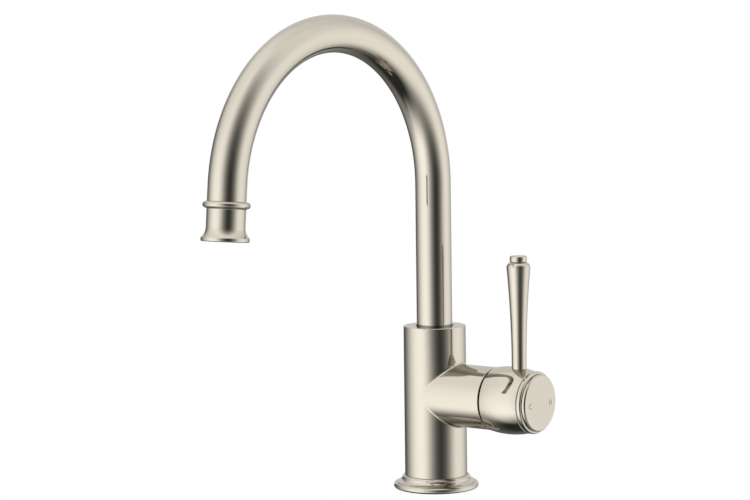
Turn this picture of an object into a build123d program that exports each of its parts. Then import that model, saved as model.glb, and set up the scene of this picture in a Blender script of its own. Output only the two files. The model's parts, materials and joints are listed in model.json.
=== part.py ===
from build123d import *
import os
from math import cos, radians, sin, sqrt, tan

# Gooseneck basin mixer with a side barrel and a tilting pin lever.
# Millimetres, +Z up. The origin is the centre of the base on the deck plane. The
# barrel points along +X and the spout reaches towards -Y. At rest the valve is shut,
# the lever stands upright and the spout is swung a little off square, as it was found.

# Clearances shared by pieces that fit one another
slip = 0.05  # radial gap of a turned piece in its bore
face_gap = 0.1  # gap between faces that slide on one another
loose = 0.3  # gap round a piece that must never rub
edge_round = 0.5  # eased outer edges of the plated brass

# Column and side barrel
column_d = 44.0
column_seat = 9.0  # where the column sits on the base flange
barrel_d = 43.8  # a hair under the column, so that the V seam closes
barrel_height = 67.25  # barrel axis above the deck
column_rise = 48.1  # column top above the barrel axis, clear of the cartridge
barrel_end = 51.4  # open end of the barrel, from the column axis
barrel_blend = 2.0  # radius along the V where barrel and column meet

# Base flange and gasket
flange_d = 60.1
flange_foot_d = 57.2
flange_lip_height = 2.3  # height of the widest point
flange_step_height = 4.3
flange_step = 0.4
flange_step_inset = 1.9  # step edge inside the widest point
flange_step_rise = 0.3
flange_cove_height = 6.5
flange_cove_sag = 0.3  # how hollow the cove is
flange_shoulder = 2.5  # how far the top roll stands out from the column
flange_crest_out = 0.75  # top of the roll, out from the column
flange_crest_height = 9.3
flange_crest_round = 0.3
gasket_d = 54.0
gasket_bore_d = 46.0
gasket_thickness = 2.2

# Inlet block brazed into the foot of the column, with the fixing and the inlets in it
block_foot_d = 39.6  # inside the flange
block_neck_d = 36.0  # inside the column
block_height = 16.5
stud_hole_d = 6.8  # M8 tapping size
stud_hole_depth = 9.0  # as deep as the flange, clear of the column above
stud_offset = 12.5
inlet_port_d = 9.0  # M10 x 1 tapping size
inlet_port_depth = 9.0
inlet_back = 1.0  # inlet ports behind the column axis
inlet_spacing = 17.0
outlet_back = 7.5  # riser to the spout, behind the column axis
passage_d = 6.0

# Spout
tube_d = 25.2
tube_wall = 1.2
tube_rise = 215.55  # where the bend starts, above the deck
bend_radius = 104.7
bend_angle = 175.0
tube_stub = 9.7  # straight length after the bend
spout_swing = 2.24  # swivel away from square, degrees
spout_mouth_gap = 0.8  # ring gap round the tube at the column top

# Spout spigot, its seat in the column and its retaining screw
seat_depth = 11.5  # counterbore that takes the tube
spigot_d = 21.9
spigot_length = 15.0
spigot_bore_d = 14.0
spigot_inside_tube = 12.0
spigot_collar = 1.7
glide_ring_thickness = 1.2
seal_section = 2.0
seal_groove_width = 2.4
seal_groove_1 = 2.5  # groove centres above the spigot's lower end
seal_groove_2 = 6.5
screw_groove_height = 11.2
screw_groove_width = 3.4
screw_groove_depth = 2.0
retaining_screw_d = 4.2
retaining_screw_tip_d = 2.6
retaining_screw_hex = 2.1  # across the corners of the key socket
retaining_screw_socket = 5.0

# Nozzle, measured along its axis from the end of the bend
nozzle_d = 25.2
bead_d = 30.6
bead_width = 4.3
bead_cove = 0.8  # hollow under the bead
nozzle_length = 25.4  # from the top of the bead to the mouth
flare_start = 16.2  # from the top of the bead
flare_d = 31.3
lip_height = 2.5
lip_round = 0.7
mouth_round = 0.95  # outer edge of the mouth
mouth_d = 27.4
mouth_cone = 3.2  # depth of the cone inside the mouth
nozzle_spigot = 6.5  # length inside the tube
nozzle_waterway_d = 19.2
aerator_d = 21.9
aerator_depth = 13.7  # thread bore, from the mouth
aerator_length = 9.0
aerator_wall = 1.55
aerator_lip = 0.5  # inward lip that holds the insert
aerator_notch_depth = 1.5
aerator_notch_width = 3.0
aerator_washer_thickness = 1.7
aerator_washer_lap = 1.55  # how far the washer reaches in over the insert
screen_thickness = 0.6
honeycomb_cell = 2.0
honeycomb_wall = 0.5
honeycomb_depth = 2.4
honeycomb_rows = 7

# Cartridge, placed from the stem's pivot
pivot_depth = 20.0  # pivot behind the open end of the barrel
cartridge_d = 35.0
cartridge_wall = 2.3
cartridge_shoulder = 7.0  # nut seat above the pivot
collar_d = 30.8
collar_top = 10.0
neck_d = 24.0
neck_top = 12.2
neck_foot = 2.9  # below the pivot
guide_flange_d = 30.0
guide_foot = 6.3
rail_depth = 3.1
rail_width = 2.2
rail_length = 18.0
lower_arm = 9.0  # pivot to the ball that drives the disc
ball_d = 5.2
arm_d = 3.2
carrier_d = 22.6
carrier_flat = 16.2
carrier_web = 1.0
moving_disc_d = 23.0
moving_disc_thickness = 3.6
fixed_disc_thickness = 4.0
base_plug = 3.5
base_flange_thickness = 1.5
base_gap = 0.5
port_seal_d = 8.0
port_seal_bore = 5.8
port_d = 5.0
inlet_port_offset = 5.5
inlet_port_rise = 7.0
outlet_drop = 3.5
mixing_d = 12.0  # round hollow under the moving disc
mixing_drop = 1.0
mixing_depth = 1.8
dog_d = 3.0
dog_offset = 6.2
dog_drop = 5.9
dog_length = 1.2
peg_d = 3.8
peg_length = 3.0
peg_offset = 12.5
nut_d = 38.0
nut_bore_d = 31.2
nut_length = 8.0
nut_notch = 3.0
stop_ring_thickness = 1.95
stop_groove_depth = 1.4
stop_lug_angle = 16.0
stop_slack = 4.0  # play of the lug in its groove, degrees
stop_middle = 90.0  # the lug stands at the top of the ring
turn_limit = 50.0  # lever turn for hot and cold, each way
tilt_limit = 20.0  # lever tilt from shut to fully open
dome_reach = 4.75  # how far the cover stands out of the barrel, on its axis
dome_wall = 1.0
dome_hole_slack = 2.0  # round the stem at full tilt

# Stem and its pin
stem_side = 8.0
stem_length = 38.7  # pivot to the end of the stem
pivot_pin_d = 3.0
pivot_pin_length = 23.0

# Handle drum
drum_gap = 1.5  # groove between barrel and drum
drum_length = 29.5
drum_edge_d = 44.6
drum_end_d = 42.0
drum_crown = 1.7  # bulge above a straight cone
skirt_wall = 1.0
skirt_depth = 13.5
drum_web = 11.5
drum_recess_d = 36.0
drum_chamfer = 0.4
drum_edge_round = 0.4
hub_d = 17.0
hub_length = 9.0
socket_depth = 4.0  # stem socket, into the web
screw_d = 5.0
screw_head_d = 8.5
screw_head_height = 4.0
screw_length = 13.0
screw_hex = 4.6  # across the corners of the key socket
screw_socket = 2.4

# End cap and index disc
cap_neck_d = 40.0
cap_neck = 0.6
cap_ring_d = 43.0
cap_ring = 3.2
cap_ring_round = 1.7
cap_plug = 3.6
cap_plug_bore_d = 30.0
cap_floor = 1.6  # behind the index disc
cap_seal_section = 1.6
cap_seal_groove = 1.9
index_disc_d = 39.4
index_disc_thickness = 4.1
index_disc_proud = 2.5
index_disc_bevel = 0.8
index_disc_gap = 0.15

# Lever
lever_offset = 20.0  # lever axis beyond the open end of the barrel
lever_seat = 22.2  # spot face above the barrel axis
lever_foot_d = 10.2
lever_taper_start = 25.0
lever_taper_end = 92.3
lever_wide_d = 16.4
lever_shoulder_top = 96.0
lever_neck_d = 11.0
tip_d = 11.8
tip_height = 4.2
tip_round = 1.0
tip_gap = 0.2
tip_peg_d = 5.0
tip_peg_length = 6.0
lever_stud_d = 6.0
lever_stud_bite = 9.5  # stud length inside the drum
lever_stud_reach = 12.0

# Places and radii that follow from the sizes above
column_r = column_d / 2
column_top = barrel_height + column_rise
barrel_r = barrel_d / 2
tube_r = tube_d / 2
cartridge_r = cartridge_d / 2
nut_r = nut_d / 2
neck_r = neck_d / 2
pivot_x = barrel_end - pivot_depth
tilt = radians(tilt_limit)
ball_x = pivot_x - lower_arm
ball_r = ball_d / 2
carrier_floor_x = ball_x - ball_r - loose
carrier_foot_x = carrier_floor_x - carrier_web
fixed_disc_x = carrier_foot_x - moving_disc_thickness - slip - fixed_disc_thickness
base_foot_x = fixed_disc_x - base_plug - base_flange_thickness
cartridge_seat_x = base_foot_x - base_gap
shoulder_x = pivot_x + cartridge_shoulder
collar_top_x = pivot_x + collar_top
neck_top_x = pivot_x + neck_top
guide_step_x = pivot_x - neck_foot
guide_foot_x = pivot_x - guide_foot
stem_end_x = pivot_x + stem_length
drum_start_x = barrel_end + drum_gap
drum_end_x = drum_start_x + drum_length
web_x = drum_start_x + skirt_depth
recess_x = web_x + drum_web
lever_x = barrel_end + lever_offset
lever_z = barrel_height
port_spots = [(inlet_port_offset, inlet_port_rise), (-inlet_port_offset, inlet_port_rise), (0, -outlet_drop)]
peg_spots = [(peg_offset, 0), (-peg_offset, 0)]
inlet_spots = [(-inlet_back, inlet_spacing / 2), (-inlet_back, -inlet_spacing / 2)]

# Working planes and axes
barrel_side = Plane(origin=(0, 0, barrel_height), x_dir=(1, 0, 0), z_dir=(0, -1, 0))
barrel_axis = Axis((0, 0, barrel_height), (1, 0, 0))
lever_axis = Axis((lever_x, 0, lever_z), (0, 0, 1))
lever_side = Plane(origin=(lever_x, 0, lever_z), x_dir=(1, 0, 0), z_dir=(0, -1, 0))
spout_forward = Vector(-sin(radians(spout_swing)), -cos(radians(spout_swing)), 0)
spout_side = Plane(origin=(0, 0, 0), x_dir=spout_forward, z_dir=spout_forward.cross(Vector(0, 0, 1)))
lean = radians(180 - bend_angle)  # how far the mouth leans away from the column
bend_end = (bend_radius * (1 + cos(lean)), tube_rise + bend_radius * sin(lean))
stub_end = (bend_end[0] + tube_stub * sin(lean), bend_end[1] - tube_stub * cos(lean))
mouth_origin = spout_side.from_local_coords(stub_end)
mouth_direction = spout_forward * sin(lean) - Vector(0, 0, 1) * cos(lean)
mouth_side = Plane(origin=mouth_origin, x_dir=mouth_direction, z_dir=spout_side.z_dir)
mouth_axis = Axis(mouth_origin, mouth_direction)


def across(x):
    """Plane square to the barrel axis at x, with its own y upwards."""
    return Plane(origin=(x, 0, barrel_height), x_dir=(0, 1, 0), z_dir=(1, 0, 0))


def along_mouth(distance):
    """Plane square to the nozzle axis, at a distance below the end of the tube."""
    return Plane(origin=mouth_origin + mouth_direction * distance, z_dir=mouth_direction)


# Base flange: a turned ring with a rounded lip, a fine step and a roll at the column
flange_r = flange_d / 2
flange_foot_r = flange_foot_d / 2
flange_bore_r = block_foot_d / 2 + slip
step_r = flange_r - flange_step_inset
cove_start = (step_r - flange_step, flange_step_height + flange_step_rise)
cove_end = (column_r + flange_shoulder, flange_cove_height)
roll_crest = (column_r + flange_crest_out, flange_crest_height)
gasket_r = gasket_d / 2
gasket_bore_r = gasket_bore_d / 2
gasket_groove = gasket_thickness - slip
with BuildPart() as base_flange:
    with BuildSketch(Plane.XZ):
        with BuildLine():
            Line((flange_bore_r, 0), (flange_foot_r, 0))
            ThreePointArc((flange_foot_r, 0), (flange_r, flange_lip_height), (step_r, flange_step_height))
            Polyline((step_r, flange_step_height), (step_r - flange_step, flange_step_height), cove_start)
            cove = SagittaArc(cove_start, cove_end, flange_cove_sag)
            roll = TangentArc(cove_end, roll_crest, tangent=(0, 1))
            roll_turn = 270 - Vector(roll % 1).get_signed_angle(Vector(1, 0, 0), Vector(0, 0, -1))
            crest = JernArc(roll @ 1, roll % 1, flange_crest_round, roll_turn)
            Polyline(
                crest @ 1,
                (Vector(crest @ 1).X, column_seat),
                (flange_bore_r, column_seat),
                (flange_bore_r, 0),
            )
        make_face()
    revolve(axis=Axis.Z)
    with BuildSketch(Plane.XY):
        Circle(gasket_r)
        Circle(gasket_bore_r, mode=Mode.SUBTRACT)
    extrude(amount=gasket_groove, mode=Mode.SUBTRACT)

# Flat rubber gasket in the groove under the flange
with BuildPart() as base_gasket:
    with BuildSketch(Plane.XY):
        Circle(gasket_r - slip)
        Circle(gasket_bore_r + slip, mode=Mode.SUBTRACT)
    extrude(amount=gasket_groove)

# Inlet block: two inlets and the fixing hole, each closed above but for a passage
block_foot_r = block_foot_d / 2
block_neck_r = block_neck_d / 2
with BuildPart() as inlet_block:
    with BuildSketch(Plane.XY):
        Circle(block_foot_r)
    extrude(amount=column_seat)
    with BuildSketch(Plane.XY):
        Circle(block_neck_r)
    extrude(amount=block_height)
    chamfer(inlet_block.edges().filter_by(GeomType.CIRCLE).sort_by(Axis.Z)[-1], length=edge_round)
    with BuildSketch(Plane.XY):
        with Locations(*inlet_spots):
            Circle(passage_d / 2)
    extrude(amount=block_height, mode=Mode.SUBTRACT)
    with BuildSketch(Plane.XY):
        with Locations(*inlet_spots):
            Circle(inlet_port_d / 2)
    extrude(amount=inlet_port_depth, mode=Mode.SUBTRACT)
    with BuildSketch(Plane.XY):
        with Locations((stud_offset, 0)):
            Circle(stud_hole_d / 2)
    extrude(amount=stud_hole_depth, mode=Mode.SUBTRACT)

# Body: column and barrel in one casting, with the cartridge chamber, the spout seat
# and the waterways drilled from below and from the barrel
spigot_r = spigot_d / 2
spigot_seat_r = spigot_r + slip
seat_floor = column_top - seat_depth
glide_top = seat_floor + glide_ring_thickness
collar_foot = glide_top + face_gap
spigot_foot = collar_foot - spigot_length
chamber_r = cartridge_r + slip * 2
thread_r = nut_r + slip
screw_height = spigot_foot + screw_groove_height
screw_floor_r = spigot_r - screw_groove_depth
with BuildPart() as mixer_body:
    with BuildSketch(Plane.XY.offset(column_seat)):
        Circle(column_r)
    extrude(amount=column_top - column_seat)
    with BuildSketch(across(0)):
        Circle(barrel_r)
    extrude(amount=barrel_end)
    seam = mixer_body.edges().filter_by(lambda edge: edge.geom_type not in (GeomType.CIRCLE, GeomType.LINE))
    fillet(seam, radius=barrel_blend)
    rims = mixer_body.edges().filter_by(GeomType.CIRCLE)
    fillet(rims.sort_by(Axis.Z)[-1], radius=edge_round)
    fillet(rims.sort_by(Axis.X)[-1], radius=edge_round)
    with BuildSketch(Plane.XY.offset(column_seat)):
        Circle(block_neck_r + slip)
    extrude(amount=block_height - column_seat, mode=Mode.SUBTRACT)
    with BuildSketch(Plane.XY.offset(seat_floor)):
        Circle(tube_r + spout_mouth_gap)
    extrude(amount=seat_depth, mode=Mode.SUBTRACT)
    with BuildSketch(Plane.XY.offset(spigot_foot - loose)):
        Circle(spigot_seat_r)
    extrude(amount=spigot_length, mode=Mode.SUBTRACT)
    with BuildSketch(across(cartridge_seat_x)):
        Circle(chamber_r)
    extrude(amount=shoulder_x - cartridge_seat_x, mode=Mode.SUBTRACT)
    with BuildSketch(across(shoulder_x)):
        Circle(thread_r)
    extrude(amount=barrel_end - shoulder_x, mode=Mode.SUBTRACT)
    with BuildSketch(across(cartridge_seat_x)):
        with Locations(*peg_spots):
            Circle(peg_d / 2 + slip)
    extrude(amount=-peg_length, mode=Mode.SUBTRACT)
    with BuildSketch(across(cartridge_seat_x)):
        with Locations(*port_spots[:2]):
            Circle(passage_d / 2)
    extrude(amount=-(cartridge_seat_x + inlet_back), mode=Mode.SUBTRACT)
    with BuildSketch(across(cartridge_seat_x)):
        with Locations(port_spots[2]):
            Circle(passage_d / 2)
    extrude(amount=-(cartridge_seat_x + outlet_back), mode=Mode.SUBTRACT)
    with BuildSketch(Plane.XY.offset(block_height)):
        with Locations(*inlet_spots):
            Circle(passage_d / 2)
    extrude(amount=barrel_height + inlet_port_rise - block_height, mode=Mode.SUBTRACT)
    with BuildSketch(Plane.XY.offset(barrel_height - outlet_drop)):
        with Locations((-outlet_back, 0)):
            Circle(passage_d / 2)
    extrude(amount=spigot_foot - barrel_height + outlet_drop, mode=Mode.SUBTRACT)
    with BuildSketch(Plane.XZ.offset(-column_r)):
        with Locations((0, screw_height)):
            Circle(retaining_screw_d / 2)
    extrude(amount=column_r - screw_floor_r, mode=Mode.SUBTRACT)

# Glide ring that carries the spout in the column
with BuildPart() as spout_glide_ring:
    with BuildSketch(Plane.XY.offset(seat_floor)):
        Circle(tube_r + spout_mouth_gap - slip)
        Circle(spigot_seat_r + loose, mode=Mode.SUBTRACT)
    extrude(amount=glide_ring_thickness)

# Grub screw at the back of the column: its tip runs in the spigot's groove
screw_tip_y = screw_floor_r + loose
screw_body_y = spigot_seat_r + loose
with BuildPart() as spout_retaining_screw:
    with BuildSketch(Plane.XZ.offset(-column_r + edge_round)):
        with Locations((0, screw_height)):
            Circle(retaining_screw_d / 2 - slip)
    extrude(amount=column_r - edge_round - screw_body_y)
    with BuildSketch(Plane.XZ.offset(-screw_body_y)):
        with Locations((0, screw_height)):
            Circle(retaining_screw_tip_d / 2)
    extrude(amount=screw_body_y - screw_tip_y)
    with BuildSketch(Plane.XZ.offset(-column_r + edge_round)):
        with Locations((0, screw_height)):
            RegularPolygon(retaining_screw_hex / 2, 6)
    extrude(amount=retaining_screw_socket, mode=Mode.SUBTRACT)

# Spout: one bent tube, a long straight leg, the bend and a short straight end
with BuildPart() as spout_tube:
    with BuildLine(spout_side) as tube_path:
        Line((0, collar_foot + spigot_collar), (0, tube_rise))
        CenterArc((bend_radius, tube_rise), bend_radius, 180, -bend_angle)
        Line(bend_end, stub_end)
    with BuildSketch(Plane.XY.offset(collar_foot + spigot_collar)):
        Circle(tube_r)
        Circle(tube_r - tube_wall, mode=Mode.SUBTRACT)
    sweep(path=tube_path.wire())

# Spigot brazed into the foot of the tube, with two seal grooves and a screw groove
tube_bore_r = tube_r - tube_wall
seal_floor_r = spigot_r - seal_section
with BuildPart() as spout_spigot:
    with BuildSketch(Plane.XY.offset(spigot_foot)):
        Circle(spigot_r)
    extrude(amount=spigot_length)
    with BuildSketch(Plane.XY.offset(collar_foot)):
        Circle(tube_r)
    extrude(amount=spigot_collar)
    with BuildSketch(Plane.XY.offset(collar_foot + spigot_collar)):
        Circle(tube_bore_r - slip)
    extrude(amount=spigot_inside_tube)
    chamfer(spout_spigot.edges().filter_by(GeomType.CIRCLE).sort_by(Axis.Z)[0], length=edge_round)
    for groove_centre in (seal_groove_1, seal_groove_2):
        with BuildSketch(Plane.XY.offset(spigot_foot + groove_centre - seal_groove_width / 2)):
            Circle(tube_r)
            Circle(seal_floor_r, mode=Mode.SUBTRACT)
        extrude(amount=seal_groove_width, mode=Mode.SUBTRACT)
    with BuildSketch(Plane.XY.offset(screw_height - screw_groove_width / 2)):
        Circle(tube_r)
        Circle(screw_floor_r, mode=Mode.SUBTRACT)
    extrude(amount=screw_groove_width, mode=Mode.SUBTRACT)
    with BuildSketch(Plane.XY.offset(spigot_foot)):
        Circle(spigot_bore_d / 2)
    extrude(amount=spigot_length + spigot_collar + spigot_inside_tube, mode=Mode.SUBTRACT)

# Two seal rings in the spigot's grooves
with BuildPart() as spigot_seals:
    for groove_centre in (seal_groove_1, seal_groove_2):
        with BuildSketch(Plane.XZ):
            with Locations((seal_floor_r + seal_section / 2, spigot_foot + groove_centre)):
                Circle(seal_section / 2 - slip / 2)
        revolve(axis=Axis.Z)

# Nozzle: a bead against the tube, a straight barrel and a flared mouth with a round lip
nozzle_r = nozzle_d / 2
flare_r = flare_d / 2
flare_end = nozzle_length - lip_height
thread_top = nozzle_length - aerator_depth
with BuildPart() as outlet_nozzle:
    with BuildSketch(mouth_side) as nozzle_profile:
        with BuildLine():
            Line((0, nozzle_waterway_d / 2), (0, nozzle_r))
            ThreePointArc((0, nozzle_r), (bead_width / 2, bead_d / 2), (bead_width, nozzle_r))
            Line((bead_width, nozzle_r), (flare_start, nozzle_r))
            TangentArc((flare_start, nozzle_r), (flare_end, flare_r), tangent=(1, 0))
            FilletPolyline(
                (flare_end, flare_r),
                (nozzle_length, flare_r),
                (nozzle_length, mouth_d / 2),
                (nozzle_length - mouth_cone, aerator_d / 2 + slip),
                (thread_top, aerator_d / 2 + slip),
                radius=[mouth_round, edge_round, edge_round],
            )
            Polyline(
                (thread_top, aerator_d / 2 + slip),
                (thread_top, nozzle_waterway_d / 2),
                (0, nozzle_waterway_d / 2),
            )
        make_face()
        lip_corner = nozzle_profile.vertices().sort_by_distance((flare_end, flare_r))[0]
        fillet(lip_corner, radius=lip_round)
        bead_foot = nozzle_profile.vertices().sort_by_distance((bead_width, nozzle_r))[0]
        fillet(bead_foot, radius=bead_cove)
    revolve(axis=mouth_axis)
    with BuildSketch(along_mouth(-nozzle_spigot)):
        Circle(tube_bore_r - slip)
        Circle(nozzle_waterway_d / 2, mode=Mode.SUBTRACT)
    extrude(amount=nozzle_spigot)

# Aerator: threaded sleeve, sealing washer, wire screen and honeycomb insert
aerator_r = aerator_d / 2
aerator_bore_r = aerator_r - aerator_wall
washer_foot = thread_top + aerator_washer_thickness
aerator_foot = washer_foot + aerator_length
with BuildPart() as aerator_housing:
    with BuildSketch(along_mouth(washer_foot)):
        Circle(aerator_r)
        Circle(aerator_bore_r, mode=Mode.SUBTRACT)
    extrude(amount=aerator_length)
    with BuildSketch(along_mouth(aerator_foot - aerator_lip)):
        Circle(aerator_bore_r)
        Circle(aerator_bore_r - aerator_lip, mode=Mode.SUBTRACT)
    extrude(amount=aerator_lip)
    with BuildSketch(along_mouth(aerator_foot)):
        with PolarLocations(aerator_r, 4):
            Rectangle(aerator_wall, aerator_notch_width)
    extrude(amount=-aerator_notch_depth, mode=Mode.SUBTRACT)
with BuildPart() as aerator_washer:
    with BuildSketch(along_mouth(thread_top)):
        Circle(aerator_r - slip)
        Circle(aerator_bore_r - aerator_washer_lap, mode=Mode.SUBTRACT)
    extrude(amount=aerator_washer_thickness)
with BuildPart() as aerator_screen:
    with BuildSketch(along_mouth(washer_foot + loose)):
        Circle(aerator_bore_r - slip)
    extrude(amount=screen_thickness)
insert_top = washer_foot + loose + screen_thickness
insert_length = aerator_foot - aerator_lip - insert_top
insert_bore_r = aerator_bore_r - aerator_wall
honeycomb_pitch = honeycomb_cell + honeycomb_wall
with BuildPart() as aerator_insert:
    with BuildSketch(along_mouth(insert_top)):
        Circle(aerator_bore_r - slip)
        Circle(insert_bore_r, mode=Mode.SUBTRACT)
    extrude(amount=insert_length)
    with BuildSketch(along_mouth(insert_top + insert_length - honeycomb_depth)):
        Circle(insert_bore_r)
        grid = HexLocations(honeycomb_pitch / 2, honeycomb_rows, honeycomb_rows, major_radius=False)
        reach = insert_bore_r - honeycomb_cell / 2 - honeycomb_wall
        with Locations(*[spot for spot in grid.local_locations if spot.position.length < reach]):
            RegularPolygon(honeycomb_cell / 2, 6, major_radius=False, mode=Mode.SUBTRACT)
    extrude(amount=honeycomb_depth)

# Cartridge base: a plug with two inlets, one outlet, seal recesses and two pegs
seal_recess = base_flange_thickness
rabbet_r = cartridge_r - cartridge_wall / 2
with BuildPart() as cartridge_base:
    with BuildSketch(across(base_foot_x)):
        Circle(cartridge_r - slip)
    extrude(amount=base_flange_thickness)
    with BuildSketch(across(base_foot_x + base_flange_thickness)):
        Circle(rabbet_r - slip)
    extrude(amount=base_plug)
    with BuildSketch(across(base_foot_x)):
        with Locations(*peg_spots):
            Circle(peg_d / 2)
    extrude(amount=-(base_gap + peg_length - loose))
    with BuildSketch(across(base_foot_x)):
        with Locations(*port_spots):
            Circle(port_d / 2)
    extrude(amount=base_flange_thickness + base_plug, mode=Mode.SUBTRACT)
    with BuildSketch(across(base_foot_x)):
        with Locations(*port_spots):
            Circle(port_seal_d / 2 + slip)
    extrude(amount=seal_recess, mode=Mode.SUBTRACT)

# Three rubber port seals between the base and the floor of the chamber
with BuildPart() as port_seals:
    with BuildSketch(across(cartridge_seat_x)):
        with Locations(*port_spots):
            Circle(port_seal_d / 2)
            Circle(port_seal_bore / 2, mode=Mode.SUBTRACT)
    extrude(amount=base_gap + seal_recess)

# Cartridge housing: a cup that traps the discs and the turning stem guide
cavity_r = cartridge_r - cartridge_wall
neck_hole_r = neck_r + face_gap
with BuildPart() as cartridge_housing:
    with BuildSketch(barrel_side):
        with BuildLine():
            Polyline(
                (base_foot_x + base_flange_thickness, rabbet_r),
                (base_foot_x + base_flange_thickness, cartridge_r),
                (shoulder_x, cartridge_r),
                (shoulder_x, collar_d / 2),
                (collar_top_x, collar_d / 2),
                (collar_top_x, neck_hole_r),
                (guide_step_x + face_gap, neck_hole_r),
                (guide_step_x + face_gap, cavity_r),
                (fixed_disc_x, cavity_r),
                (fixed_disc_x, rabbet_r),
                (base_foot_x + base_flange_thickness, rabbet_r),
            )
        make_face()
    revolve(axis=barrel_axis)
    chamfer(cartridge_housing.edges().filter_by(GeomType.CIRCLE).group_by(Axis.X)[-1][-1], length=edge_round)

# Ceramic discs: the lower one stands still, the upper one slides and turns on it
fixed_disc_r = cavity_r - slip * 2
with BuildPart() as fixed_disc:
    with BuildSketch(across(fixed_disc_x)):
        Circle(fixed_disc_r)
        with Locations(*port_spots):
            Circle(port_d / 2, mode=Mode.SUBTRACT)
    extrude(amount=fixed_disc_thickness)
moving_disc_x = fixed_disc_x + fixed_disc_thickness + slip
moving_disc_r = moving_disc_d / 2
dog_spots = [(dog_offset, -dog_drop), (-dog_offset, -dog_drop)]
with BuildPart() as moving_disc:
    with BuildSketch(across(moving_disc_x)):
        Circle(moving_disc_r)
    extrude(amount=moving_disc_thickness)
    with BuildSketch(across(moving_disc_x)):
        with Locations((0, -mixing_drop)):
            Circle(mixing_d / 2)
    extrude(amount=mixing_depth, mode=Mode.SUBTRACT)
    with BuildSketch(across(carrier_foot_x)):
        with Locations(*dog_spots):
            Circle(dog_d / 2 + slip)
    extrude(amount=-dog_length, mode=Mode.SUBTRACT)

# Carrier that pushes the moving disc, with a slot for the stem's ball and two dogs
ball_slot = ball_d + loose
with BuildPart() as disc_carrier:
    with BuildSketch(across(carrier_foot_x)):
        Circle(carrier_d / 2)
        Rectangle(carrier_flat, carrier_d, mode=Mode.INTERSECT)
    extrude(amount=guide_foot_x - face_gap - carrier_foot_x)
    with BuildSketch(across(carrier_floor_x)):
        Rectangle(ball_slot, ball_slot)
    extrude(amount=guide_foot_x - carrier_floor_x, mode=Mode.SUBTRACT)
    with BuildSketch(across(carrier_foot_x)):
        with Locations(*dog_spots):
            Circle(dog_d / 2)
    extrude(amount=-dog_length + loose)

# Stem guide: turns in the housing, holds the pivot pin and guides the carrier between rails
slot_half_width = stem_side / 2 + face_gap * 2
stem_swing = stem_side / 2 / cos(tilt) + neck_top * tan(tilt)
slot_bottom = stem_swing + loose
ball_overlap = lower_arm * cos(tilt) - guide_foot
slot_top = lower_arm * sin(tilt) + sqrt(ball_r**2 - ball_overlap**2) + loose
rail_middle = carrier_flat / 2 + face_gap + rail_width / 2
stop_floor_r = neck_r - stop_groove_depth
stop_sweep = 2 * turn_limit + stop_lug_angle + stop_slack
with BuildPart() as stem_guide:
    with BuildSketch(across(guide_foot_x)):
        Circle(guide_flange_d / 2)
    extrude(amount=guide_step_x - guide_foot_x)
    with BuildSketch(across(guide_step_x)):
        Circle(neck_r)
    extrude(amount=neck_top_x - guide_step_x)
    with BuildSketch(across(guide_foot_x)):
        with Locations((rail_middle, 0), (-rail_middle, 0)):
            Rectangle(rail_width, rail_length)
    extrude(amount=-rail_depth)
    with BuildSketch(across(guide_foot_x)):
        with Locations((0, (slot_top - slot_bottom) / 2)):
            Rectangle(slot_half_width * 2, slot_top + slot_bottom)
    extrude(amount=neck_top_x - guide_foot_x, mode=Mode.SUBTRACT)
    with BuildSketch(Plane.XZ.offset(-neck_r)):
        with Locations((pivot_x, barrel_height)):
            Circle(pivot_pin_d / 2 + slip / 2)
    extrude(amount=neck_d, mode=Mode.SUBTRACT)
    with BuildSketch(across(collar_top_x + loose)):
        with BuildLine():
            sweep_start = stop_middle - stop_sweep / 2
            outer = CenterArc((0, 0), neck_r + loose, sweep_start, stop_sweep)
            inner = CenterArc((0, 0), stop_floor_r, sweep_start, stop_sweep)
            Line(outer @ 0, inner @ 0)
            Line(outer @ 1, inner @ 1)
        make_face()
    extrude(amount=neck_top_x - collar_top_x, mode=Mode.SUBTRACT)

# Ring on the housing whose lug stops the guide at full hot and full cold
with BuildPart() as temperature_stop_ring:
    with BuildSketch(across(collar_top_x)):
        Circle(collar_d / 2 - face_gap)
        Circle(neck_r + loose, mode=Mode.SUBTRACT)
    extrude(amount=stop_ring_thickness)
    with BuildSketch(across(collar_top_x + loose * 2)):
        with BuildLine():
            lug_start = stop_middle - stop_lug_angle / 2
            outer = CenterArc((0, 0), neck_r + loose * 2, lug_start, stop_lug_angle)
            inner = CenterArc((0, 0), stop_floor_r + loose, lug_start, stop_lug_angle)
            Line(outer @ 0, inner @ 0)
            Line(outer @ 1, inner @ 1)
        make_face()
    extrude(amount=stop_ring_thickness - loose * 2)

# Pivot pin across the guide, and the stem that rocks on it
with BuildPart() as pivot_pin:
    with BuildSketch(Plane.XZ.offset(-pivot_pin_length / 2)):
        with Locations((pivot_x, barrel_height)):
            Circle(pivot_pin_d / 2)
    extrude(amount=pivot_pin_length)
with BuildPart() as stem:
    with BuildSketch(across(pivot_x)):
        Rectangle(stem_side, stem_side)
    extrude(amount=stem_length)
    with BuildSketch(Plane.XZ.offset(-stem_side / 2)):
        with Locations((pivot_x, barrel_height)):
            Circle(stem_side / 2)
    extrude(amount=stem_side)
    chamfer(stem.faces().sort_by(Axis.X)[-1].edges(), length=edge_round)
    with BuildSketch(across(ball_x)):
        Circle(arm_d / 2)
    extrude(amount=lower_arm)
    with BuildSketch(barrel_side):
        with Locations((ball_x, 0)):
            Circle(ball_r)
        with Locations((ball_x, -ball_r)):
            Rectangle(ball_d, ball_d, mode=Mode.SUBTRACT)
    revolve(axis=barrel_axis)
    with BuildSketch(Plane.XZ.offset(-stem_side)):
        with Locations((pivot_x, barrel_height)):
            Circle(pivot_pin_d / 2 + slip)
    extrude(amount=stem_side * 2, mode=Mode.SUBTRACT)
    with BuildSketch(across(stem_end_x)):
        Circle(screw_d / 2 + slip)
    extrude(amount=-screw_length, mode=Mode.SUBTRACT)

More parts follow.
